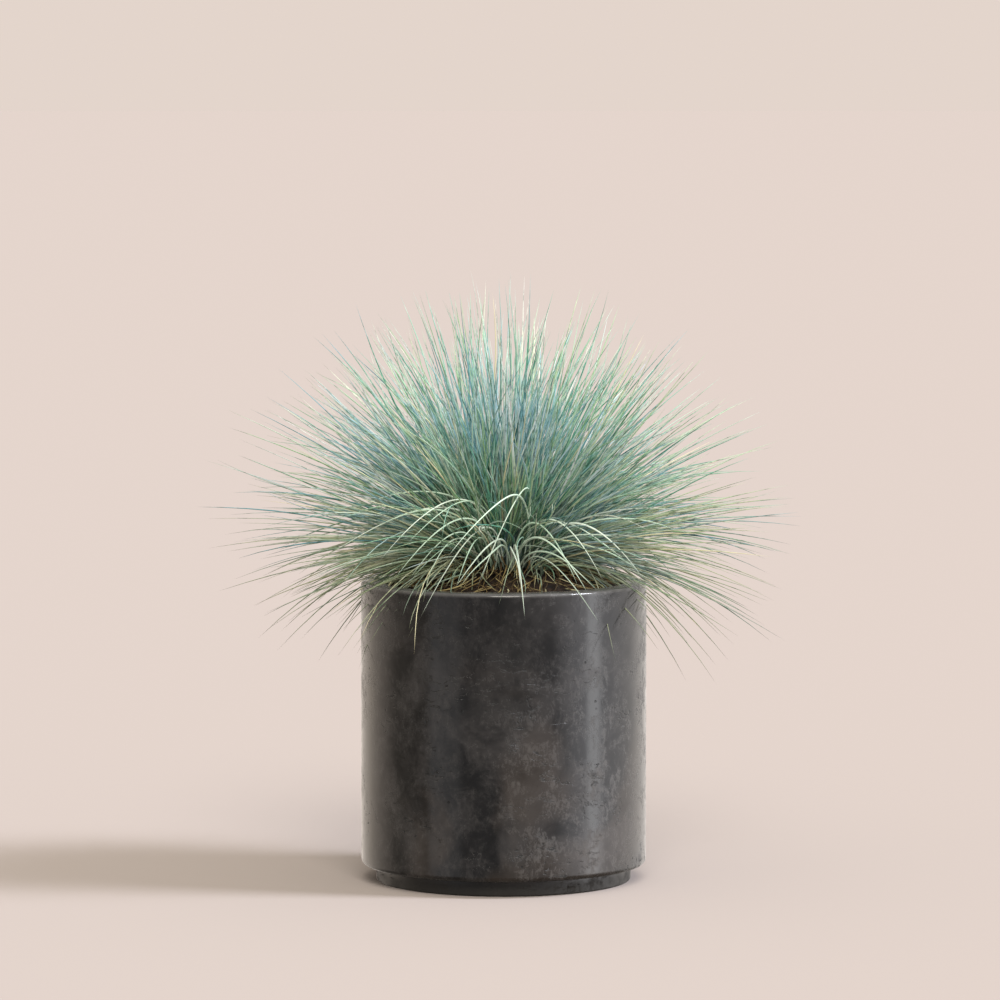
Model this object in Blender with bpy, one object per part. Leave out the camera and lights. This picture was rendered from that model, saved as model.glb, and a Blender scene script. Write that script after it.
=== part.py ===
"""Potted blue fescue clump: a cast stone pot with a recessed foot, its soil, the dead leaves lying on the
soil, and the grass, built as tufts of leaves that spread from one crown, with a few single leaves that
arch over the rim in front. Metres, +Z up. The origin is the middle of the foot's flat underside."""

import math
import random

import bmesh
import bpy
from mathutils import Vector

GAP = 0.0005  # clearance between pieces that touch

# Pot
POT_RADIUS = 0.090
POT_HEIGHT = 0.189
POT_WALL = 0.014
POT_FLOOR = 0.016
FOOT_RADIUS = 0.0804
FOOT_HEIGHT = 0.010
RIM_ROUND = 0.0022
BODY_EDGE_ROUND = 0.0035
FOOT_EDGE_ROUND = 0.0012
INSIDE_CORNER_ROUND = 0.006
POT_SIDES = 56

# Soil, nearly level with the rim at the wall and mounded towards the crown
SOIL_BELOW_RIM = 0.0028
SOIL_MOUND = 0.0125
SOIL_MOUND_POWER = 1.6  # how far the top of the mound spreads
SOIL_RINGS = 8
SOIL_SIDES = 40

# Dead leaves, a loose ring on the soil between the crown and the pot's wall
LITTER_RINGS = (5, 6, 7)  # counted out from the axis, of the soil's rings
LITTER_THICKNESS = 0.0022
LITTER_UNEVENNESS = 0.0011

# A leaf or tuft runs in two legs that blend into one curve: it sets off along the first and ends along the
# second. Leans are in degrees from upright, and the elbow is the first leg's share of the length.

# Tufts, ring by ring from the middle. The root is how far out the ring stands, and thick its thickness
TUFT_RINGS = (
    {"name": "centre", "step": 360, "root": 0.0000, "leans": (1, 4), "elbow": 0.50, "length": 0.187},
    {"name": "upright", "step": 72, "root": 0.0065, "leans": (13, 20), "elbow": 0.50, "length": 0.186},
    {"name": "inner", "step": 45, "root": 0.0125, "leans": (28, 42), "elbow": 0.50, "length": 0.182},
    {"name": "middle", "step": 36, "root": 0.0185, "leans": (42, 64), "elbow": 0.45, "length": 0.185},
    {"name": "outer", "step": 30, "root": 0.0245, "leans": (56, 93), "elbow": 0.35, "length": 0.176},
)
TUFT_THICK = 0.0072
TUFT_ROOT_SHARE = 0.30  # of that thickness, at the root
TUFT_UNEVEN_LEAN = 1.6  # degrees
TUFT_UNEVEN_TURN = 3.0  # degrees
TUFT_UNEVEN_LENGTH = 0.035  # share of the length
TUFT_POINTS = 9
SEED = 7

# Drooping tufts hang over the rim at the sides and the back, and two short ones lie low in front, turned
# this far round from +X
LOW_TUFTS = (
    {"name": "drooping", "root": 0.0305, "leans": (44, 134), "elbow": 0.30, "length": 0.165, "thick": 0.0040},
    {"name": "front", "root": 0.0400, "leans": (38, 113), "elbow": 0.42, "length": 0.070, "thick": 0.0028},
)
LOW_TURNS = {"drooping": (-15, 15, 45, 75, 105, 135, 165, 195, 226), "front": (238, 298)}

# The front of the two outermost rings is open, between these turns, and single leaves arch out there. For
# each: X and Y of its root, then where its two legs meet and where its tip is, as X, Y and height above
# the rim
FRONT_OPENINGS = {"middle": (252, 288), "outer": (232, 308)}
FRONT_LEAVES = (
    ((-0.001, -0.023), (-0.014, -0.068, 0.098), (-0.078, -0.100, 0.019)),
    ((-0.006, -0.027), (-0.024, -0.066, 0.070), (-0.078, -0.082, 0.041)),
    ((-0.004, -0.031), (-0.014, -0.066, 0.080), (-0.068, -0.086, 0.008)),
    ((-0.0115, -0.0295), (-0.021, -0.062, 0.062), (-0.058, -0.088, 0.009)),
    ((-0.0075, -0.0335), (-0.013, -0.068, 0.058), (-0.029, -0.093, 0.005)),
    ((0.000, -0.029), (-0.004, -0.066, 0.078), (-0.052, -0.088, -0.016)),
    ((0.0115, -0.0310), (0.030, -0.058, 0.120), (-0.017, -0.092, 0.003)),
    ((0.002, -0.033), (0.006, -0.064, 0.056), (-0.030, -0.092, 0.004)),
    ((0.004, -0.029), (0.015, -0.065, 0.076), (0.046, -0.086, 0.004)),
    ((0.0070, -0.0270), (0.025, -0.066, 0.079), (0.062, -0.082, 0.006)),
    ((0.0145, -0.0300), (0.039, -0.070, 0.074), (0.086, -0.084, 0.009)),
    ((0.0185, -0.0310), (0.041, -0.062, 0.044), (0.084, -0.062, 0.012)),
    ((0.006, -0.034), (0.006, -0.062, 0.055), (0.013, -0.104, -0.014)),
    ((0.0105, -0.0350), (0.021, -0.066, 0.041), (0.059, -0.093, -0.018)),
)
FRONT_LEAF_THICK = 0.0008
FRONT_LEAF_POINTS = 9


def material(name, colour, roughness):
    """A finish with one colour, in linear red, green and blue."""
    made = bpy.data.materials.new(name)
    made.use_nodes = True
    shader = made.node_tree.nodes["Principled BSDF"]
    shader.inputs["Base Color"].default_value = (*colour, 1)
    shader.inputs["Roughness"].default_value = roughness
    shader.inputs["Metallic"].default_value = 0
    made.diffuse_color = (*colour, 1)
    return made


def place(name, data, finish):
    """A named object in the scene that holds this mesh or curve."""
    data.materials.append(finish)
    made = bpy.data.objects.new(name, data)
    bpy.context.scene.collection.objects.link(made)
    return made


def rounded(corners, steps=3):
    """An outline of (x, z, radius) corners, each with a radius turned into an arc."""
    outline = []
    for i, (x, z, radius) in enumerate(corners):
        corner = Vector((x, z))
        if not radius:
            outline.append(corner)
            continue
        before = (Vector(corners[i - 1][:2]) - corner).normalized()
        after = (Vector(corners[i + 1][:2]) - corner).normalized()
        half = before.angle(after) / 2
        centre = corner + (before + after).normalized() * radius / math.sin(half)
        start = corner + before * radius / math.tan(half) - centre
        turn = start.angle_signed(corner + after * radius / math.tan(half) - centre)
        for k in range(steps + 1):
            angle = -turn * k / steps
            outline.append(
                centre
                + Vector(
                    (
                        start.x * math.cos(angle) - start.y * math.sin(angle),
                        start.x * math.sin(angle) + start.y * math.cos(angle),
                    )
                )
            )
    return outline


def turned(name, outline, sides, finish, closed=False):
    """A solid turned about the Z axis. An open outline starts and ends on the axis."""
    shape = bmesh.new()
    points = [shape.verts.new((p[0], 0, p[1])) for p in outline]
    pairs = list(zip(points, points[1:]))
    if closed:
        pairs.append((points[-1], points[0]))
    edges = [shape.edges.new(pair) for pair in pairs]
    bmesh.ops.spin(
        shape,
        geom=points + edges,
        axis=(0, 0, 1),
        cent=(0, 0, 0),
        angle=2 * math.pi,
        steps=sides,
        use_merge=True,
    )
    bmesh.ops.remove_doubles(shape, verts=shape.verts, dist=0.000001)
    bmesh.ops.recalc_face_normals(shape, faces=shape.faces)
    data = bpy.data.meshes.new(name)
    shape.to_mesh(data)
    shape.free()
    data.shade_smooth()
    data.set_sharp_from_angle(angle=math.radians(30))
    return place(name, data, finish)


def soil_height(radius):
    """How high the soil stands at this distance from the axis: a low mound that is flat at the wall."""
    edge = POT_HEIGHT - SOIL_BELOW_RIM
    share = min(radius / (POT_RADIUS - POT_WALL - GAP), 1)
    return edge + SOIL_MOUND * (0.5 + 0.5 * math.cos(math.pi * share**SOIL_MOUND_POWER))


def soil_ring(number):
    """The radius of one of the soil's rings, counted out from the axis."""
    return (POT_RADIUS - POT_WALL - GAP) * number / SOIL_RINGS


def heading(turn, lean):
    """The unit vector that leans this far from upright, turned this far round from +X."""
    flat = math.sin(math.radians(lean))
    upright = math.cos(math.radians(lean))
    return Vector((flat * math.cos(math.radians(turn)), flat * math.sin(math.radians(turn)), upright))


def centreline(root, first_leg, second_leg, count):
    """Points along the curve that sets off along the first leg and comes in along the second."""
    points = []
    for k in range(count):
        t = k / (count - 1)
        points.append(root + first_leg * (2 * t - t * t) + second_leg * (t * t))
    return points


def leaf_solid(name, points, thick, root_share, tip_share, fullest, sides, finish):
    """A round solid along points, thickest at the share fullest of its length and pointed at the tip."""
    data = bpy.data.curves.new(name, "CURVE")
    data.dimensions = "3D"
    data.twist_mode = "MINIMUM"
    data.bevel_depth = thick
    data.bevel_resolution = sides // 2 - 2
    data.use_fill_caps = True
    spline = data.splines.new("POLY")
    spline.points.add(len(points) - 1)
    for k, (spot, point) in enumerate(zip(spline.points, points)):
        along = k / (len(points) - 1)
        if along < fullest:
            share = root_share + (1 - root_share) * math.sin(math.pi / 2 * along / fullest)
        else:
            share = tip_share + (1 - tip_share) * math.cos(math.pi / 2 * (along - fullest) / (1 - fullest))
        spot.co = (*point, 1)
        spot.radius = share
    return place(name, data, finish)


def build_pot(finish):
    inside = POT_RADIUS - POT_WALL
    corners = (
        (0, 0, 0),
        (FOOT_RADIUS, 0, FOOT_EDGE_ROUND),
        (FOOT_RADIUS, FOOT_HEIGHT, 0),
        (POT_RADIUS, FOOT_HEIGHT, BODY_EDGE_ROUND),
        (POT_RADIUS, POT_HEIGHT, RIM_ROUND),
        (inside, POT_HEIGHT, RIM_ROUND),
        (inside, POT_FLOOR, INSIDE_CORNER_ROUND),
        (0, POT_FLOOR, 0),
    )
    turned("pot", rounded(corners), POT_SIDES, finish)


def build_soil(finish):
    radius = soil_ring(SOIL_RINGS)
    bottom = POT_FLOOR + GAP
    outline = rounded(
        [(0, bottom, 0), (radius, bottom, INSIDE_CORNER_ROUND), (radius, soil_height(radius), 0)], steps=2
    )
    for number in range(SOIL_RINGS - 1, -1, -1):
        distance = soil_ring(number)
        outline.append(Vector((distance, soil_height(distance))))
    turned("potting_soil", outline, SOIL_SIDES, finish)


def build_litter(finish):
    """The ring follows the soil, with an uneven top."""
    outline = []
    for number in LITTER_RINGS:
        distance = soil_ring(number)
        outline.append(Vector((distance, soil_height(distance) + GAP)))
    for number in reversed(LITTER_RINGS):
        distance = soil_ring(number)
        outline.append(Vector((distance, soil_height(distance) + LITTER_THICKNESS)))
    ring = turned("dead_leaf_litter", outline, SOIL_SIDES, finish, closed=True)
    chance = random.Random(SEED)
    for vertex in ring.data.vertices:
        radius = math.hypot(vertex.co.x, vertex.co.y)
        if vertex.co.z > soil_height(radius) + LITTER_THICKNESS / 2:
            vertex.co.z += LITTER_UNEVENNESS * chance.uniform(-0.5, 1)


def crown_point(x, y):
    """Where a leaf roots, just above the soil."""
    return Vector((x, y, soil_height(math.hypot(x, y)) + 2 * GAP))


def build_tuft(name, ring, turn, uneven_lean, length, thick, finish):
    # A leaning tuft's lower edge dips below its root by its radius there, so the root is lifted by that
    first_lean = ring["leans"][0] + uneven_lean
    second_lean = ring["leans"][1] + uneven_lean
    root = crown_point(*(ring["root"] * heading(turn, 90)).xy)
    root.z += thick * TUFT_ROOT_SHARE * math.sin(math.radians(first_lean))
    first_leg = heading(turn, first_lean) * length * ring["elbow"]
    second_leg = heading(turn, second_lean) * length * (1 - ring["elbow"])
    points = centreline(root, first_leg, second_leg, TUFT_POINTS)
    leaf_solid(name, points, thick, TUFT_ROOT_SHARE, 0.05, 0.5, 6, finish)


def build_tufts(finish):
    chance = random.Random(SEED)
    for order, ring in enumerate(TUFT_RINGS):
        places = [ring["step"] * (k + 0.5 * (order % 2)) for k in range(360 // ring["step"])]
        if ring["name"] in FRONT_OPENINGS:
            low, high = FRONT_OPENINGS[ring["name"]]
            places = [turn for turn in places if not low < turn < high]
        for k, place_round in enumerate(places):
            turn = place_round + chance.uniform(-1, 1) * TUFT_UNEVEN_TURN
            lean = chance.uniform(-1, 1) * TUFT_UNEVEN_LEAN
            length = ring["length"] * (1 + chance.uniform(-1, 0.4) * TUFT_UNEVEN_LENGTH)
            name = f"tuft_{ring['name']}" if len(places) == 1 else f"tuft_{ring['name']}_{k + 1}"
            build_tuft(name, ring, turn, lean, length, TUFT_THICK, finish)
    for ring in LOW_TUFTS:
        for k, turn in enumerate(LOW_TURNS[ring["name"]]):
            lean = chance.uniform(-1, 1) * TUFT_UNEVEN_LEAN
            length = ring["length"] * (1 + chance.uniform(-1, 0.4) * TUFT_UNEVEN_LENGTH)
            build_tuft(f"tuft_{ring['name']}_{k + 1}", ring, turn, lean, length, ring["thick"], finish)


def build_front_leaves(finish):
    rim = Vector((0, 0, POT_HEIGHT))
    for k, (foot, meeting, tip) in enumerate(FRONT_LEAVES):
        root = crown_point(*foot)
        root.z += FRONT_LEAF_THICK
        first_leg = rim + Vector(meeting) - root
        second_leg = Vector(tip) - Vector(meeting)
        points = centreline(root, first_leg, second_leg, FRONT_LEAF_POINTS)
        leaf_solid(f"front_leaf_{k + 1}", points, FRONT_LEAF_THICK, 0.9, 0.3, 0.3, 6, finish)


for old in list(bpy.data.objects):
    bpy.data.objects.remove(old, do_unlink=True)
build_pot(material("dark cast stone", (0.040, 0.040, 0.042), 0.38))
build_soil(material("potting soil", (0.045, 0.028, 0.026), 0.95))
build_litter(material("dead leaf", (0.42, 0.29, 0.12), 0.8))
build_tufts(material("fescue leaf", (0.21, 0.36, 0.32), 0.55))
build_front_leaves(material("pale fescue leaf", (0.36, 0.47, 0.36), 0.5))
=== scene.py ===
import math

import bmesh
import bpy
import numpy as np
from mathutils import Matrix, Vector, noise


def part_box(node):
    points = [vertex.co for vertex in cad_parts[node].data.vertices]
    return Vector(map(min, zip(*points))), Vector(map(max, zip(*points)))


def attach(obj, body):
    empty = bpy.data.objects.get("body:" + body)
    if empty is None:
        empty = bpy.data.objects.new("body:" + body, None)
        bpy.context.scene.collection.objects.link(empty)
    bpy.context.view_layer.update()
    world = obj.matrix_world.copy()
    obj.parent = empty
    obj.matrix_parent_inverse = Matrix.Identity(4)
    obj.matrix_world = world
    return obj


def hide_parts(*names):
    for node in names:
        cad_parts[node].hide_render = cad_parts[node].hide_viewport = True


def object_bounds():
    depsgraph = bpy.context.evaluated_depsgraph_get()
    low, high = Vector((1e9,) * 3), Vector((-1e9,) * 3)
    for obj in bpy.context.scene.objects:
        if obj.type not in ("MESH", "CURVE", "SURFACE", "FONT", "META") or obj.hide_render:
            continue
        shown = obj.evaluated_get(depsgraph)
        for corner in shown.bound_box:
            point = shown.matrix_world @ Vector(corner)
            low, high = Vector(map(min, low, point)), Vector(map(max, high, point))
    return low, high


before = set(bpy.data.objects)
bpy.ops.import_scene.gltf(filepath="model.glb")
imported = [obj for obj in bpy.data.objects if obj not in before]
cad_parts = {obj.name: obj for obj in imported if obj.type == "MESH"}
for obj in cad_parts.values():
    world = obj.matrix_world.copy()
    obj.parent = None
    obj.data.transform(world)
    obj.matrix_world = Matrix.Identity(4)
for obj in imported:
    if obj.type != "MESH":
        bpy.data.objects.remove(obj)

cad_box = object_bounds()

# ---------------------------------------------------------------------------------------------------
# The pot. One casting of dark concrete, ground and waxed to a satin gloss, with a thick wall, a flat
# rim with softened edges and a recessed foot that it stands on. Nothing is fixed to it.
# ---------------------------------------------------------------------------------------------------
POT_WALL = 0.014
POT_FLOOR = 0.016
FOOT_RADIUS = 0.0804
FOOT_HEIGHT = 0.010
RIM_ROUND = 0.0022
BODY_EDGE_ROUND = 0.0035
POT_TURNS = 192  # steps round the pot
POT_ROW = 0.006  # the tallest a row of faces is


class Wire:
    """A node's output socket. Sums and products of wires add Math nodes, or Vector Math for vectors."""

    def __init__(self, tree, socket):
        self.tree = tree
        self.socket = socket
        self.is_vector = socket.type == "VECTOR"

    def calc(self, operation, *others):
        kind = "ShaderNodeVectorMath" if self.is_vector else "ShaderNodeMath"
        return self.tree.add(kind, {"operation": operation}, dict(enumerate((self, *others))))

    def scaled(self, amount):
        return self.tree.add("ShaderNodeVectorMath", {"operation": "SCALE"}, {0: self, "Scale": amount})

    def part(self, letter):
        return self.tree.add("ShaderNodeSeparateXYZ", {}, {0: self}, "XYZ".index(letter))

    def length(self):
        return self.tree.add("ShaderNodeVectorMath", {"operation": "LENGTH"}, {0: self}, "Value")

    def between(self, low, high):
        """0 below low, 1 above high, and smooth in between."""
        settings = {"interpolation_type": "SMOOTHSTEP"}
        sockets = {"Value": self, "From Min": low, "From Max": high}
        return self.tree.add("ShaderNodeMapRange", settings, sockets)

    def __add__(self, other):
        return self.calc("ADD", other)

    def __sub__(self, other):
        return self.calc("SUBTRACT", other)

    def __mul__(self, other):
        return self.scaled(other) if self.is_vector else self.calc("MULTIPLY", other)

    def __truediv__(self, other):
        return self.calc("DIVIDE", other)

    def __pow__(self, other):
        return self.calc("POWER", other)

    __radd__ = __add__
    __rmul__ = __mul__

    def __rsub__(self, other):
        return self.tree.add("ShaderNodeMath", {"operation": "SUBTRACT"}, {0: other, 1: self})


class Tree:
    """A node tree, of a material or of Geometry Nodes, that nodes are added to one at a time."""

    def __init__(self, tree):
        self.tree = tree

    def add(self, kind, settings, sockets, output=0):
        """A node of this kind, with its settings made first and then its sockets. Gives one output."""
        node = self.tree.nodes.new(kind)
        for name, value in settings.items():
            if name == "stops":
                self.set_stops(node.color_ramp, value)
            else:
                setattr(node, name, value)
        for name, value in sockets.items():
            if isinstance(value, Wire):
                self.tree.links.new(value.socket, node.inputs[name])
            else:
                node.inputs[name].default_value = value
        return Wire(self, node.outputs[output]) if len(node.outputs) else node

    def set_stops(self, ramp, stops):
        while len(ramp.elements) < len(stops):
            ramp.elements.new(1)
        for element, (place, colour) in zip(ramp.elements, stops):
            element.position = place
            element.color = (*colour, 1)

    def mix(self, amount, first, second):
        """A colour between two colours."""
        first = first if isinstance(first, Wire) else (*first, 1)
        second = second if isinstance(second, Wire) else (*second, 1)
        return self.add("ShaderNodeMix", {"data_type": "RGBA"}, {0: amount, 6: first, 7: second}, 2)

    def ramp(self, amount, stops):
        """A colour read off a row of (place, colour) stops."""
        return self.add("ShaderNodeValToRGB", {"stops": stops}, {0: amount})

    def joined(self, x, y, z):
        return self.add("ShaderNodeCombineXYZ", {}, {0: x, 1: y, 2: z})

    def noise(self, place, scale, detail=4, roughness=0.55, distortion=0):
        sockets = {"Vector": place, "Scale": scale, "Detail": detail, "Roughness": roughness}
        sockets["Distortion"] = distortion
        return self.add("ShaderNodeTexNoise", {}, sockets)


def start_material(name, **plain):
    """A new material's tree and its shader, with the sockets that are the same all over."""
    material = bpy.data.materials.new(name)
    material.use_nodes = True
    shader = material.node_tree.nodes["Principled BSDF"]
    for socket, value in plain.items():
        shader.inputs[socket.replace("_", " ")].default_value = value
    return material, Tree(material.node_tree), shader


def feed(tree, shader, colour=None, roughness=None, height=None, bump_distance=0.001, bump_strength=1):
    """Joins what varies over the surface to the shader."""
    if colour is not None:
        tree.tree.links.new(colour.socket, shader.inputs["Base Color"])
    if roughness is not None:
        tree.tree.links.new(roughness.socket, shader.inputs["Roughness"])
    if height is not None:
        sockets = {"Height": height, "Distance": bump_distance, "Strength": bump_strength}
        bump = tree.add("ShaderNodeBump", {}, sockets)
        tree.tree.links.new(bump.socket, shader.inputs["Normal"])


def finished(name, mesh, material):
    """An object at the origin that holds a finished mesh."""
    mesh.materials.clear()
    mesh.materials.append(material)
    made = bpy.data.objects.new(name, mesh)
    bpy.context.scene.collection.objects.link(made)
    return made


def rounded(corners, steps):
    """An outline of (radius from the axis, height, rounding) corners, each rounding made an arc."""
    outline = []
    for i, (x, z, radius) in enumerate(corners):
        corner = Vector((x, z))
        if not radius:
            outline.append(corner)
            continue
        before = (Vector(corners[i - 1][:2]) - corner).normalized()
        after = (Vector(corners[i + 1][:2]) - corner).normalized()
        half = before.angle(after) / 2
        centre = corner + (before + after).normalized() * radius / math.sin(half)
        start = corner + before * radius / math.tan(half) - centre
        end = corner + after * radius / math.tan(half) - centre
        turn = start.angle_signed(end)
        for k in range(steps + 1):
            angle = -turn * k / steps
            x_part = start.x * math.cos(angle) - start.y * math.sin(angle)
            z_part = start.x * math.sin(angle) + start.y * math.cos(angle)
            outline.append(centre + Vector((x_part, z_part)))
    return outline


def in_rows(outline, tallest):
    """The outline with its long stretches cut into rows no taller than tallest."""
    cut = [outline[0]]
    for point in outline[1:]:
        steps = max(1, math.ceil((point - cut[-1]).length / tallest))
        start = cut[-1]
        cut += [start.lerp(point, k / steps) for k in range(1, steps + 1)]
    return cut


def turned(name, outline, turns):
    """A closed mesh turned about the Z axis from an outline that starts and ends on the axis, running up
    the outside, with a map that is the angle one way and the way along the outline the other."""
    shape = bmesh.new()
    angles = [2 * math.pi * k / turns for k in range(turns)]
    rings = []
    for radius, height in outline:
        if radius < 1e-7:
            rings.append([shape.verts.new((0, 0, height))] * turns)
            continue
        spots = [(radius * math.cos(a), radius * math.sin(a), height) for a in angles]
        rings.append([shape.verts.new(spot) for spot in spots])
    travel = [0]
    for before, after in zip(outline, outline[1:]):
        travel.append(travel[-1] + (after - before).length)
    uv = shape.loops.layers.uv.new("OFBake")
    for row, (low, high) in enumerate(zip(rings, rings[1:])):
        for k in range(turns):
            n = (k + 1) % turns
            corners = [
                (low[k], k, row),
                (low[n], k + 1, row),
                (high[n], k + 1, row + 1),
                (high[k], k, row + 1),
            ]
            if low[k] is low[n]:
                corners = [(low[k], k + 0.5, row)] + corners[2:]
            elif high[k] is high[n]:
                corners = corners[:2] + [(high[k], k + 0.5, row + 1)]
            face = shape.faces.new([c[0] for c in corners])
            face.smooth = True
            for loop, (_, around, along) in zip(face.loops, corners):
                loop[uv].uv = (0.002 + 0.996 * around / turns, 0.002 + 0.996 * travel[along] / travel[-1])
    mesh = bpy.data.meshes.new(name)
    shape.to_mesh(mesh)
    shape.free()
    return mesh


pot_low, pot_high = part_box("pot")
POT_RADIUS = (pot_high.x - pot_low.x) / 2
POT_HEIGHT = pot_high.z
pot_corners = (
    (0, 0, 0),
    (FOOT_RADIUS, 0, 0.0012),
    (FOOT_RADIUS, FOOT_HEIGHT, 0.0006),
    (POT_RADIUS, FOOT_HEIGHT, BODY_EDGE_ROUND),
    (POT_RADIUS, POT_HEIGHT, RIM_ROUND),
    (POT_RADIUS - POT_WALL, POT_HEIGHT, RIM_ROUND),
    (POT_RADIUS - POT_WALL, POT_FLOOR, 0.006),
    (0, POT_FLOOR, 0),
)
pot_mesh = turned("pot_casting", in_rows(rounded(pot_corners, 5), POT_ROW), POT_TURNS)

POT_DARK = (0.0065, 0.0062, 0.0064)
POT_MID = (0.0250, 0.0236, 0.0240)
POT_PALE = (0.1150, 0.1110, 0.1110)

pot_material, tree, shader = start_material("waxed dark concrete", Specular_IOR_Level=0.5)
place = tree.add("ShaderNodeTexCoord", {}, {}, "Object")
height = place.part("Z")
upright = tree.add("ShaderNodeMapping", {}, {"Vector": place, "Scale": (1, 1, 0.60)})
clouds = tree.noise(place, 16, 5, 0.6, 0.6)
blotches = tree.noise(place, 60, 6, 0.7, 0.4)
brushed = tree.noise(upright, 300, 8, 0.78, 0.3)
grain = tree.noise(place, 480, 3, 0.6)
mottle = clouds * 0.40 + blotches * 0.60
colour = tree.mix(mottle.between(0.38, 0.64), POT_DARK, POT_MID)
right_side_painted_light = place.part("X").between(-0.030, 0.065)  # painted light: more pale scuffs towards the right side, where the key light falls
scuffed = (tree.noise(place, 9, 3) + right_side_painted_light * 0.10).between(0.44, 0.66)
scuffs = brushed.between(0.45, 0.62) * blotches.between(0.40, 0.56) * (scuffed * 0.75 + 0.25)
colour = tree.mix(scuffs * 0.50, colour, POT_PALE)
colour = tree.mix(clouds.between(0.46, 0.66) * 0.36, colour, (0.058, 0.055, 0.056))
colour = tree.mix(height.between(0.070, 0.175) * 0.32, colour, POT_DARK)
earthy = tree.noise(place, 11, 3, 0.6, 0.5).between(0.48, 0.64) * (1 - height.between(0.05, 0.20))
colour = tree.mix(earthy * 0.32, colour, (0.062, 0.048, 0.038))
cells = tree.add("ShaderNodeTexVoronoi", {}, {"Vector": place, "Scale": 140}, "Distance")
pits = (1 - cells.between(0.05, 0.16)) * tree.noise(place, 34, 3).between(0.53, 0.60)
vein = (tree.noise(place, 26, 4, 0.6, 0.8) - 0.5).calc("ABSOLUTE")
cracks = (1 - vein.between(0.001, 0.007)) * tree.noise(place, 52, 2).between(0.60, 0.66)
flat = tree.add("ShaderNodeMapping", {}, {"Vector": place, "Scale": (1, 1, 2.4)})
smears = tree.noise(flat, 120, 5, 0.7, 1.2).between(0.57, 0.63)
smears = smears * tree.noise(place, 30, 3).between(0.51, 0.59)
marks = pits.calc("MAXIMUM", cracks).calc("MAXIMUM", smears * 0.85)
colour = tree.mix(marks * 0.92, colour, (0.004, 0.004, 0.004))
# painted highlight: the top of the rim made paler, as the sheen it shows at a grazing angle
rim_painted_highlight = height.between(POT_HEIGHT - 0.0030, POT_HEIGHT - 0.0002) * (0.45 + 0.55 * blotches)
colour = tree.mix(rim_painted_highlight * 0.60, colour, (0.200, 0.196, 0.198))
# painted shade: the recessed foot under the body darkened; it is also made rougher
foot_painted_shade = 1 - height.between(FOOT_HEIGHT * 0.4, FOOT_HEIGHT + 0.004)
colour = tree.mix(foot_painted_shade * 0.9, colour, (0.012, 0.010, 0.008))
feed(
    tree,
    shader,
    colour,
    roughness=mottle.between(0.40, 0.62) * 0.16 + scuffs * 0.30 + marks * 0.3 + foot_painted_shade * 0.4 + 0.09,
    height=grain * 0.04 + blotches * 0.12 + scuffs * 0.10 - marks * 0.4,
    bump_distance=0.0006,
    bump_strength=0.55,
)

pot = finished("pot_casting", pot_mesh, pot_material)
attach(pot, "root")
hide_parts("pot")

# ---------------------------------------------------------------------------------------------------
# The potting soil. Dark peat and bark compost, filled to just under the rim at the wall and mounded round
# the crown. It lies loose in the pot.
# ---------------------------------------------------------------------------------------------------
SOIL_ROWS = 46
SOIL_TURNS = 128
soil_low, soil_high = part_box("potting_soil")
SOIL_RADIUS = POT_RADIUS - POT_WALL - 0.0005
SOIL_EDGE = POT_HEIGHT - 0.0028  # where the soil meets the wall
SOIL_MOUND = soil_high.z - SOIL_EDGE
SOIL_MOUND_POWER = 1.6  # how far the top of the mound spreads


def soil_height(x, y):
    """The mound that the compost makes, without its crumbs."""
    share = min(math.hypot(x, y) / SOIL_RADIUS, 1)
    return SOIL_EDGE + SOIL_MOUND * (0.5 + 0.5 * math.cos(math.pi * share**SOIL_MOUND_POWER))


soil_outline = [Vector((0, soil_low.z)), Vector((SOIL_RADIUS, soil_low.z))]
soil_outline += [Vector((SOIL_RADIUS, SOIL_EDGE - 0.004))]
for k in range(SOIL_ROWS + 1):
    distance = SOIL_RADIUS * (1 - k / SOIL_ROWS)
    soil_outline.append(Vector((distance, soil_height(distance, 0))))
soil_mesh = turned("compost", soil_outline, SOIL_TURNS)
for vertex in soil_mesh.vertices:
    spot = vertex.co
    if spot.z > SOIL_EDGE - 0.001:
        crumbs = noise.fractal(spot * 180, 0.6, 2.2, 4) * 0.0012
        lumps = noise.noise(spot * 60) * 0.0016
        spot.z += crumbs + lumps

soil_material, tree, shader = start_material("damp compost", Specular_IOR_Level=0.3)
place = tree.add("ShaderNodeTexCoord", {}, {}, "Object")
lumps = tree.noise(place, 220, 6, 0.7)
fibres = tree.noise(place, 700, 4, 0.7, 2.0)
colour = tree.mix(lumps.between(0.35, 0.7), (0.006, 0.004, 0.003), (0.050, 0.029, 0.019))
colour = tree.mix(fibres.between(0.60, 0.75), colour, (0.20, 0.12, 0.055))
feed(
    tree,
    shader,
    colour,
    roughness=lumps * 0.2 + 0.75,
    height=lumps * 0.6 + fibres * 0.4,
    bump_distance=0.0012,
)
soil = finished("compost", soil_mesh, soil_material)
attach(soil, "root")
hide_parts("potting_soil")

# ---------------------------------------------------------------------------------------------------
# The dead leaves. Dry, straw-coloured leaves of past seasons that lie loose on the compost round the crown,
# most of them pointing away from it with their inner ends still propped on the shoots.
# ---------------------------------------------------------------------------------------------------
SCRAPS = 520
SCRAP_LENGTH = 0.036
SCRAP_WIDTH = 0.0014
SCRAP_SIDES = 4
SCRAP_JOINTS = 6
SCRAP_INNER = 0.030  # how far from the axis they start
SCRAP_OUTER = 0.066
SCRAP_LIMIT = SOIL_RADIUS - 0.0015


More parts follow.
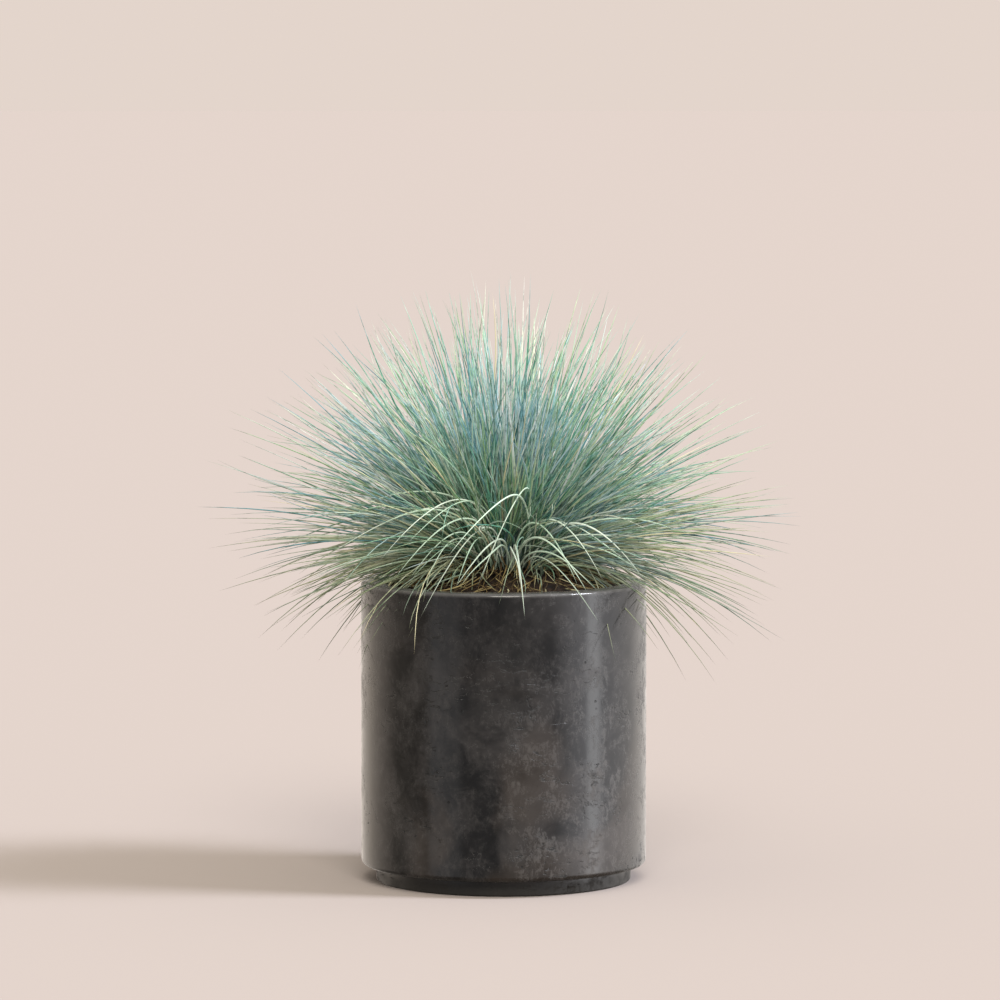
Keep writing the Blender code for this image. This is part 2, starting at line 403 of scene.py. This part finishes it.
def start_crowd(name, inputs, count, chance_seed, sides, joints):
    """A tree that starts as a crowd of thin upright cones of height 1, standing about the origin. Gives
    the tree, its inputs, its cones, the number of each cone, and a way to draw by chance for each."""
    made = bpy.data.node_groups.new(name, "GeometryNodeTree")
    made.interface.new_socket("Geometry", in_out="OUTPUT", socket_type="NodeSocketGeometry")
    for socket, kind in inputs:
        made.interface.new_socket(socket, in_out="INPUT", socket_type=f"NodeSocket{kind}")
    tree = Tree(made)
    given = {s.name: Wire(tree, s) for s in made.nodes.new("NodeGroupInput").outputs if s.name}
    index = tree.add("GeometryNodeInputIndex", {}, {})
    points = tree.add("GeometryNodePoints", {}, {"Count": given[count]})
    store = {"data_type": "INT", "domain": "POINT"}
    points = tree.add("GeometryNodeStoreNamedAttribute", store, {0: points, "Name": "one", "Value": index})
    shape = {"Vertices": sides, "Side Segments": given.get(joints, joints), "Radius Top": 0.0}
    shape.update({"Radius Bottom": 1.0, "Depth": 1.0})
    cone = tree.add("GeometryNodeMeshCone", {"fill_type": "NGON"}, shape)
    cone_map = Wire(tree, cone.socket.node.outputs["UV Map"])
    store = {"data_type": "FLOAT2", "domain": "CORNER"}
    cone = tree.add("GeometryNodeStoreNamedAttribute", store, {0: cone, "Name": "round", "Value": cone_map})
    crowd = tree.add("GeometryNodeInstanceOnPoints", {}, {"Points": points, "Instance": cone})
    crowd = tree.add("GeometryNodeRealizeInstances", {}, {0: crowd})
    one = tree.add("GeometryNodeInputNamedAttribute", {"data_type": "INT"}, {"Name": "one"})

    def chance(low, high, draw, kind="FLOAT"):
        """A number, or a vector of three, drawn once for each cone."""
        low_socket, high_socket, output = {"FLOAT": (2, 3, 1), "FLOAT_VECTOR": (0, 1, 0)}[kind]
        sockets = {low_socket: low, high_socket: high, "ID": one, "Seed": given[chance_seed] + draw}
        return tree.add("FunctionNodeRandomValue", {"data_type": kind}, sockets, output)

    return tree, given, crowd, one, chance


def end_crowd(tree, given, crowd, one, count, along, **marks):
    """Gives the crowd what its finish reads, a strip of the map for each cone, and its material."""
    store = {"data_type": "FLOAT", "domain": "POINT"}
    for name, value in {"along": along, **marks}.items():
        crowd = tree.add("GeometryNodeStoreNamedAttribute", store, {0: crowd, "Name": name, "Value": value})
    corner = tree.add("GeometryNodeInputNamedAttribute", {"data_type": "FLOAT_VECTOR"}, {"Name": "round"})
    stored = tree.add("GeometryNodeInputNamedAttribute", {"data_type": "FLOAT"}, {"Name": "along"})
    strip = tree.joined((one + 0.08 + corner.part("X") * 0.84) / given[count], stored * 0.99 + 0.005, 0)
    store = {"data_type": "FLOAT2", "domain": "CORNER"}
    crowd = tree.add("GeometryNodeStoreNamedAttribute", store, {0: crowd, "Name": "OFBake", "Value": strip})
    for name in ("one", "round"):
        crowd = tree.add("GeometryNodeRemoveAttribute", {}, {0: crowd, "Name": name})
    crowd = tree.add("GeometryNodeSetShadeSmooth", {}, {0: crowd})
    crowd = tree.add("GeometryNodeRealizeInstances", {}, {0: crowd})
    crowd = tree.add("GeometryNodeSetMaterial", {}, {0: crowd, "Material": given["Material"]})
    tree.tree.links.new(crowd.socket, tree.tree.nodes.new("NodeGroupOutput").inputs[0])
    return tree.tree


def grown(name, tree, material, **sizes):
    """A plain mesh from one of the trees, with these inputs."""
    maker = bpy.data.objects.new(name + "_maker", bpy.data.meshes.new(name + "_maker"))
    bpy.context.scene.collection.objects.link(maker)
    modifier = maker.modifiers.new("maker", "NODES")
    modifier.node_group = tree
    named = {i.name: i.identifier for i in tree.interface.items_tree if i.in_out == "INPUT"}
    for size, value in {"Material": material, **sizes}.items():
        modifier[named[size]] = value
    bpy.context.view_layer.update()
    scene_now = bpy.context.evaluated_depsgraph_get()
    mesh = bpy.data.meshes.new_from_object(maker.evaluated_get(scene_now), depsgraph=scene_now)
    mesh.name = name
    bpy.data.objects.remove(maker)
    return mesh


def make_scrap_tree():
    """Each scrap lies along its own curve on the compost, its inner end lifted and its outer end down."""
    inputs = (
        ("Scraps", "Int"),
        ("Length", "Float"),
        ("Width", "Float"),
        ("Inner", "Float"),
        ("Outer", "Float"),
        ("Limit", "Float"),
        ("Seed", "Int"),
        ("Material", "Material"),
    )
    tree, given, crowd, one, chance = start_crowd(
        "Dead leaves on the compost", inputs, "Scraps", "Seed", SCRAP_SIDES, SCRAP_JOINTS
    )
    spot = tree.add("GeometryNodeInputPosition", {}, {})
    along = spot.part("Z")
    where = chance(0, 1, 0)
    start = given["Inner"] + (given["Outer"] - given["Inner"]) * where
    turn = chance(0, 2 * math.pi, 1)
    way = turn + chance(-1, 1, 2) * (0.35 + 0.75 * where)
    curl = chance(-0.8, 0.8, 3)
    run = given["Length"] * chance(0.35, 1, 4) * along
    heading = way + curl * along
    girth = given["Width"] / 2 * chance(0.45, 1, 5) * (1 - along ** 3)
    x = start * turn.calc("COSINE") + run * heading.calc("COSINE")
    y = start * turn.calc("SINE") + run * heading.calc("SINE")
    across = spot.part("X") * girth
    x = x - across * heading.calc("SINE")
    y = y + across * heading.calc("COSINE")
    flat = tree.joined(x, y, 0)
    distance = flat.length()
    flat = flat.scaled((given["Limit"] / distance).calc("MINIMUM", 1))
    share = (distance / SOIL_RADIUS).calc("MINIMUM", 1) ** SOIL_MOUND_POWER * math.pi
    ground = share.calc("COSINE") * (SOIL_MOUND / 2) + (SOIL_EDGE + SOIL_MOUND / 2)
    propped = chance(0, 1, 6) ** 1.3 * (1 - where) * 0.017 * (1 - along) ** 1.2
    arched = chance(0, 1, 7) ** 2 * 0.0045 * (along * math.pi).calc("SINE")
    rise = ground + propped + arched + spot.part("Y") * girth * 0.45 + 0.0012
    place = tree.joined(flat.part("X"), flat.part("Y"), rise)
    crowd = tree.add("GeometryNodeSetPosition", {}, {0: crowd, "Position": place})
    return end_crowd(tree, given, crowd, one, "Scraps", along, tone=chance(0, 1, 8))


straw_material, tree, shader = start_material("dry fescue leaf", Specular_IOR_Level=0.3)
place = tree.add("ShaderNodeTexCoord", {}, {}, "Object")
along = tree.add("ShaderNodeAttribute", {"attribute_name": "along"}, {}, "Fac")
tone = tree.add("ShaderNodeAttribute", {"attribute_name": "tone"}, {}, "Fac")
stain = tree.noise(place, 240, 4, 0.7)
colour = tree.ramp(
    tone,
    (
        (0.00, (0.040, 0.024, 0.012)),
        (0.35, (0.140, 0.088, 0.036)),
        (0.60, (0.330, 0.235, 0.095)),
        (0.82, (0.500, 0.420, 0.200)),
        (1.00, (0.700, 0.660, 0.420)),
    ),
)
colour = tree.mix(stain.between(0.52, 0.72) * 0.7, colour, (0.070, 0.036, 0.020))
colour = tree.mix(along.between(0.75, 1.0) * 0.5, colour, (0.110, 0.058, 0.030))
feed(tree, shader, colour, roughness=stain * 0.3 + 0.55, height=stain, bump_distance=0.0003)

scrap_tree = make_scrap_tree()
litter_mesh = grown(
    "dead_leaves",
    scrap_tree,
    straw_material,
    Scraps=SCRAPS,
    Length=SCRAP_LENGTH,
    Width=SCRAP_WIDTH,
    Inner=SCRAP_INNER,
    Outer=SCRAP_OUTER,
    Limit=SCRAP_LIMIT,
    Seed=71,
)
litter = finished("dead_leaves", litter_mesh, straw_material)
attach(litter, "root")
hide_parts("dead_leaf_litter")

# ---------------------------------------------------------------------------------------------------
# The tufts. A fescue clump is a crowd of shoots, each a tuft of needle leaves about a millimetre thick,
# rooted together in one crown. Upright ones stand in the middle, and the outer ones droop over the rim.
# ---------------------------------------------------------------------------------------------------
LEAF_SIDES = 4
LEAF_THICK = 0.00102
FRONT_REACH = 0.015  # how far past the CAD's box a leaf's tip may hang in front
TUFTS = {
    # how many leaves, how far they spread about the tuft's own line, how far round it they root, the
    # shortest leaf's share of the tuft's length, and how pale the leaves are
    "centre": {"Leaves": 96, "Spread": 0.40, "Foot": 0.006, "Shortest": 0.44, "Pale": 0.06},
    "upright": {"Leaves": 92, "Spread": 0.42, "Foot": 0.006, "Shortest": 0.42, "Pale": 0.06},
    "inner": {"Leaves": 94, "Spread": 0.44, "Foot": 0.007, "Shortest": 0.42, "Pale": 0.10},
    "middle": {"Leaves": 92, "Spread": 0.44, "Foot": 0.007, "Shortest": 0.42, "Pale": 0.28},
    "outer": {"Leaves": 72, "Spread": 0.42, "Foot": 0.007, "Shortest": 0.38, "Pale": 0.58},
    "drooping": {"Leaves": 18, "Spread": 0.36, "Foot": 0.006, "Shortest": 0.40, "Pale": 0.85},
    "front": {"Leaves": 10, "Spread": 0.60, "Foot": 0.007, "Shortest": 0.50, "Pale": 0.60},
}


def legs_of(node):
    """Where a CAD tuft or leaf roots, and the two legs that its curve sets off and ends along, read off
    the rings of its solid, from the one nearest the crown out to the tip."""
    shape = bmesh.new()
    shape.from_mesh(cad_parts[node].data)
    bmesh.ops.remove_doubles(shape, verts=shape.verts, dist=0.00002)
    spots = np.array([v.co for v in shape.verts])
    shape.free()
    rings = [np.array((0, 0, soil_high.z))]
    while len(spots):
        order = np.argsort(np.linalg.norm(spots - rings[-1], axis=1))
        rings.append(spots[order[:6]].mean(axis=0))
        spots = spots[order[6:]]
    root, middle, tip = rings[1], rings[1 + (len(rings) - 2) // 2], rings[-1]
    first = 2 * (middle - root) - 0.5 * (tip - root)
    return {"Root": Vector(root), "First leg": Vector(first), "Second leg": Vector(tip - root - first)}


def make_leaf_tree():
    """The leaves of one tuft. Each is a thin cone bent along a curve of its own, near the tuft's."""
    inputs = (
        ("Root", "Vector"),
        ("First leg", "Vector"),
        ("Second leg", "Vector"),
        ("Leaves", "Int"),
        ("Joints", "Int"),
        ("Spread", "Float"),
        ("Foot", "Float"),
        ("Thickness", "Float"),
        ("Shortest", "Float"),
        ("Sag", "Float"),
        ("Front", "Float"),
        ("Pale", "Float"),
        ("Seed", "Int"),
        ("Material", "Material"),
    )
    tree, given, crowd, one, chance = start_crowd(
        "Leaves of a tuft", inputs, "Leaves", "Seed", LEAF_SIDES, "Joints"
    )
    spot = tree.add("GeometryNodeInputPosition", {}, {})
    along = spot.part("Z")
    stray = one.calc("MINIMUM", 1)  # the first leaf keeps to the tuft's own line

    # This leaf's two legs: the tuft's own, turned aside by chance, more so further out. A leaf that would
    # hang too far out in front is a smaller one
    aside = chance((-1, -1, -1), (1, 1, 1), 1, "FLOAT_VECTOR").scaled(given["Spread"] * stray)
    wander = chance((-1, -1, -1), (1, 1, 1), 2, "FLOAT_VECTOR").scaled(given["Spread"] * stray)
    share = 1 - (1 - chance(0, 1, 3) ** 1.5) * (1 - given["Shortest"]) * stray
    share = share * (1 + stray * 0.04)
    own_first, own_second = given["First leg"], given["Second leg"]
    sag = tree.joined(0, 0, chance(-0.35, 1, 4) * given["Sag"] * stray)
    first = (own_first.calc("NORMALIZE") + aside.scaled(0.75)).calc("NORMALIZE")
    first = first.scaled(own_first.length() * share)
    second = own_second.calc("NORMALIZE") + aside.scaled(1.1) + wander.scaled(0.9) - sag
    second = second.calc("NORMALIZE").scaled(own_second.length() * share)
    reach = (0 - first.part("Y") - second.part("Y")).calc("MAXIMUM", 0.001)
    room = ((given["Root"].part("Y") - given["Front"]) / reach).calc("MINIMUM", 1)
    first = first.scaled(room)
    second = second.scaled(room)

    # The curve that blends them, and the two ways across it
    middle = first.scaled(along * 2 - along * along) + second.scaled(along * along)
    heading = (first.scaled(1 - along) + second.scaled(along)).calc("NORMALIZE")
    level = tree.add("ShaderNodeVectorMath", {"operation": "CROSS_PRODUCT"}, {0: (0.02, 0.05, 1), 1: first})
    side = (first.calc("CROSS_PRODUCT", second).scaled(20) + level.scaled(0.05)).calc("NORMALIZE")
    deep = heading.calc("CROSS_PRODUCT", side)
    ripple = (along * 8 + chance(0, 6.3, 5)).calc("SINE") * along * stray * chance(0, 0.0036, 6)

    # Its thickness: a little narrower at the root, and fining away to the tip
    rim = tree.add("ShaderNodeVectorMath", {"operation": "MULTIPLY"}, {0: spot, 1: (1, 1, 0)})
    rim = rim.calc("NORMALIZE")
    thick = given["Thickness"] / 2 * chance(0.70, 1.10, 7)
    girth = thick * (1 - along ** 5) * (along * 4 + 0.75).calc("MINIMUM", 1)
    foot = chance((-1, -1, 0), (1, 1, 0), 8, "FLOAT_VECTOR").scaled(given["Foot"] * stray)
    place = middle + side.scaled(rim.part("X") * girth + ripple) + deep.scaled(rim.part("Y") * girth)
    place = place + given["Root"] + foot
    crowd = tree.add("GeometryNodeSetPosition", {}, {0: crowd, "Position": place})
    marks = {
        "tone": chance(0, 1, 9),
        "age": chance(0, 1, 10),
        "pale": given["Pale"] + chance(-0.25, 0.25, 11),
    }
    return end_crowd(tree, given, crowd, one, "Leaves", along, **marks)


leaf_material, tree, shader = start_material("fescue leaf", Specular_IOR_Level=0.18)
place = tree.add("ShaderNodeTexCoord", {}, {}, "Object")
along = tree.add("ShaderNodeAttribute", {"attribute_name": "along"}, {}, "Fac")
tone = tree.add("ShaderNodeAttribute", {"attribute_name": "tone"}, {}, "Fac")
age = tree.add("ShaderNodeAttribute", {"attribute_name": "age"}, {}, "Fac")
pale = tree.add("ShaderNodeAttribute", {"attribute_name": "pale"}, {}, "Fac")
patches = tree.noise(place, 12, 2)
bloom = tree.noise(place, 85, 4, 0.7)
shade = tree.noise(place, 70, 4, 0.7, 0.5)
green = tree.ramp(
    tone,
    (
        (0.00, (0.062, 0.250, 0.175)),
        (0.35, (0.200, 0.520, 0.390)),
        (0.65, (0.410, 0.720, 0.580)),
        (0.88, (0.650, 0.820, 0.700)),
        (1.00, (0.900, 0.960, 0.840)),
    ),
)
blue = tree.ramp(
    tone,
    (
        (0.00, (0.080, 0.220, 0.285)),
        (0.35, (0.225, 0.455, 0.610)),
        (0.65, (0.370, 0.590, 0.800)),
        (1.00, (0.800, 0.900, 0.960)),
    ),
)
colour = tree.mix(patches.between(0.45, 0.58) * 0.78, green, blue)
colour = tree.mix((1 - age).between(0.62, 0.97) * 0.6, colour, (0.440, 0.640, 0.270))
colour = tree.mix(pale.between(0.05, 1.0) * 0.85, colour, (0.820, 0.820, 0.520))
# partly the leaves' waxy bloom, partly painted glints: pale flecks along the leaves
colour = tree.mix(bloom.between(0.50, 0.66) * 0.50, colour, (0.680, 0.780, 0.740))
# painted shade: dark patches scattered over the leaves, as the shade inside the clump
colour = tree.mix(shade.between(0.50, 0.64) * 0.64, colour, (0.020, 0.100, 0.070))
# painted shade: each leaf darkened towards its base, deep in the clump
colour = tree.mix(along.between(0.05, 0.355), (0.007, 0.030, 0.009), colour)
ripe = along.between(0.38, 0.90) * (pale * 0.35 + age * 0.35 + 0.55)
colour = tree.mix(ripe.calc("MINIMUM", 1), colour, (0.860, 0.790, 0.480))
colour = tree.mix((age * 0.20 + along).between(1.02, 1.20) * 0.7, colour, (0.560, 0.420, 0.220))
colour = tree.mix((age + pale * 0.05).between(0.989, 0.994), colour, (0.720, 0.680, 0.450))
colour = tree.mix((1 - along).between(0.95, 1.0) * 0.8, colour, (0.300, 0.210, 0.100))
feed(tree, shader, colour, roughness=bloom * 0.2 + 0.38)

leaf_tree = make_leaf_tree()
tuft_nodes = sorted(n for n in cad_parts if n.startswith("tuft_"))
for number, node in enumerate(tuft_nodes):
    legs = legs_of(node)
    legs["Root"].z = soil_height(legs["Root"].x, legs["Root"].y) - 0.001
    name = f"{node}_leaves"
    settings = {**TUFTS[node.split("_")[1]], **legs}
    mesh = grown(
        name,
        leaf_tree,
        leaf_material,
        Joints=12,
        Thickness=LEAF_THICK,
        Sag=0.30,
        Front=cad_box[0][1] - FRONT_REACH,
        Seed=100 * (number + 1),
        **settings,
    )
    tuft = finished(name, mesh, leaf_material)
    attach(tuft, "root")
    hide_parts(node)

# ---------------------------------------------------------------------------------------------------
# The leaves in front. Paler, older leaves of the outer shoots that stand clear of the clump and arch down
# over the rim. Each grows from the crown, with one lesser leaf of the same shoot beside it.
# ---------------------------------------------------------------------------------------------------
pale_material, tree, shader = start_material("pale fescue leaf", Specular_IOR_Level=0.25)
place = tree.add("ShaderNodeTexCoord", {}, {}, "Object")
along = tree.add("ShaderNodeAttribute", {"attribute_name": "along"}, {}, "Fac")
tone = tree.add("ShaderNodeAttribute", {"attribute_name": "tone"}, {}, "Fac")
bloom = tree.noise(place, 90, 3)
colour = tree.ramp(
    tone,
    (
        (0.0, (0.580, 0.800, 0.620)),
        (0.5, (0.740, 0.920, 0.770)),
        (1.0, (0.880, 0.970, 0.880)),
    ),
)
colour = tree.mix(bloom.between(0.40, 0.70) * 0.2, colour, (0.560, 0.780, 0.620))
# painted shade: each leaf darkened towards its base, where it rises out of the clump
colour = tree.mix(along.between(0.07, 0.29), (0.016, 0.056, 0.018), colour)
colour = tree.mix(along.between(0.80, 1.02) * 0.6, colour, (0.780, 0.720, 0.460))
feed(tree, shader, colour, roughness=bloom * 0.2 + 0.36)

front_nodes = sorted(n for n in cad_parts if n.startswith("front_leaf_"))
for number, node in enumerate(front_nodes):
    name = f"{node}_blade"
    mesh = grown(
        name,
        leaf_tree,
        pale_material,
        Leaves=2,
        Joints=26,
        Spread=0.30,
        Foot=0.004,
        Thickness=LEAF_THICK * 1.35,
        Shortest=0.78,
        Sag=0.10,
        Front=cad_box[0][1],
        Pale=0.85,
        Seed=9000 + number,
        **legs_of(node),
    )
    blade = finished(name, mesh, pale_material)
    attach(blade, "root")
    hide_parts(node)

# ---------------------------------------------------------------------------------------------------
# The stage: a plain pale floor, soft light all round, the main light high on the right, a softer one in
# front, and the camera.
# ---------------------------------------------------------------------------------------------------
FLOOR_COLOUR = (0.450, 0.397, 0.381)
BACKDROP = (0.770, 0.665, 0.602)
CAMERA_BACK = 3.42
CAMERA_HEIGHT = 0.512
CAMERA_SIDE = -0.0023
AIM_HEIGHT = 0.240
LENS_LENGTH = 196.1
SKY_COLOUR = (1.00, 0.93, 0.80)
SKY_LOW = 0.52  # how bright the studio is at the horizon, and what it gains overhead and in front
SKY_GAIN = 0.24
SKY_FRONT = 0.36
# What a glossy surface sees of the studio's softboxes and dark flags, all the way round: degrees to the
# right of the way to the camera, and the brightness and the colour there
GLOSS_STRENGTH = 4.5
GLOSS_BELOW = (0.040, 0.035, 0.030)
SOFTBOXES = (
    (-180, 1.10, (1.00, 0.90, 0.82)),
    (-138, 1.20, (1.00, 0.87, 0.74)),
    (-112, 0.85, (1.00, 0.86, 0.74)),
    (-96, 0.34, (1.00, 0.88, 0.74)),
    (-64, 0.26, (1.00, 0.90, 0.80)),
    (-60, 0.66, (0.98, 0.98, 1.00)),
    (-38, 0.54, (0.98, 0.98, 1.00)),
    (-32, 0.26, (0.96, 0.97, 1.00)),
    (-4, 0.26, (0.96, 0.97, 1.00)),
    (4, 0.42, (1.00, 0.97, 0.95)),
    (40, 0.50, (0.98, 0.97, 1.00)),
    (56, 1.60, (0.96, 0.96, 1.00)),
    (69, 2.20, (0.97, 0.96, 1.00)),
    (73, 4.40, (0.98, 0.98, 1.00)),
    (81, 4.40, (0.98, 0.98, 1.00)),
    (87, 1.90, (0.98, 0.97, 1.00)),
    (116, 1.50, (1.00, 0.96, 0.94)),
    (140, 1.50, (1.00, 0.94, 0.88)),
    (180, 1.10, (1.00, 0.92, 0.86)),
)

floor_shape = bmesh.new()
bmesh.ops.create_circle(floor_shape, cap_ends=True, segments=96, radius=60)
floor_mesh = bpy.data.meshes.new("floor")
floor_shape.to_mesh(floor_mesh)
floor_shape.free()
floor_material, tree, shader = start_material("floor", Roughness=1.0, Specular_IOR_Level=0.0)
shader.inputs["Base Color"].default_value = (*FLOOR_COLOUR, 1)
floor = finished("floor", floor_mesh, floor_material)
floor.visible_glossy = False

world = bpy.data.worlds.new("studio")
bpy.context.scene.world = world
world.use_nodes = True
world.cycles.sampling_method = "NONE"
background = world.node_tree.nodes["Background"]
tree = Tree(world.node_tree)
rays = tree.add("ShaderNodeLightPath", {}, {})
seen = Wire(tree, rays.socket.node.outputs["Is Camera Ray"])
glossy = Wire(tree, rays.socket.node.outputs["Is Glossy Ray"])
way = tree.add("ShaderNodeTexCoord", {}, {}, "Generated")
round_way = way.part("X").calc("ARCTAN2", 0 - way.part("Y")) / (2 * math.pi) + 0.5
stops = []
for degrees, brightness, tint in SOFTBOXES:
    stops.append((degrees / 360 + 0.5, tuple(part * brightness / GLOSS_STRENGTH for part in tint)))
softboxes = tree.ramp(round_way, stops)
softboxes = tree.mix(way.part("Z").between(-0.60, -0.22), GLOSS_BELOW, softboxes)
colour = tree.mix(glossy, SKY_COLOUR, softboxes)
colour = tree.mix(seen, colour, BACKDROP)
daylight = SKY_LOW + SKY_GAIN * way.part("Z").calc("MAXIMUM", 0)
daylight = daylight + SKY_FRONT * (0 - way.part("Y")).calc("MAXIMUM", 0)
strength = glossy * GLOSS_STRENGTH + (1 - glossy) * daylight
strength = strength * (1 - seen) + seen
world.node_tree.links.new(colour.socket, background.inputs["Color"])
world.node_tree.links.new(strength.socket, background.inputs["Strength"])


def add_sun(name, place, energy, angle, colour):
    """A far, broad light that shines from this side towards the origin."""
    lamp = bpy.data.lights.new(name, "SUN")
    lamp.energy = energy
    lamp.angle = math.radians(angle)
    lamp.color = colour
    made = bpy.data.objects.new(name, lamp)
    made.location = place
    made.rotation_euler = (-Vector(place)).to_track_quat("-Z", "Y").to_euler()
    bpy.context.scene.collection.objects.link(made)


add_sun("key", (1.6, -0.25, 1.5), 2.7, 14, (0.98, 1.01, 1.10))
add_sun("fill", (0.1, -1.2, 1.0), 2.0, 30, (1.00, 0.95, 0.86))

lens = bpy.data.cameras.new("camera")
lens.lens = LENS_LENGTH
lens.sensor_width = 36
lens.clip_end = 200
camera = bpy.data.objects.new("camera", lens)
camera.location = (CAMERA_SIDE, -CAMERA_BACK, CAMERA_HEIGHT)
aim = Vector((CAMERA_SIDE, 0, AIM_HEIGHT))
camera.rotation_euler = (aim - camera.location).to_track_quat("-Z", "Y").to_euler()
bpy.context.scene.collection.objects.link(camera)
bpy.context.scene.camera = camera
bpy.context.scene.view_settings.view_transform = "Standard"
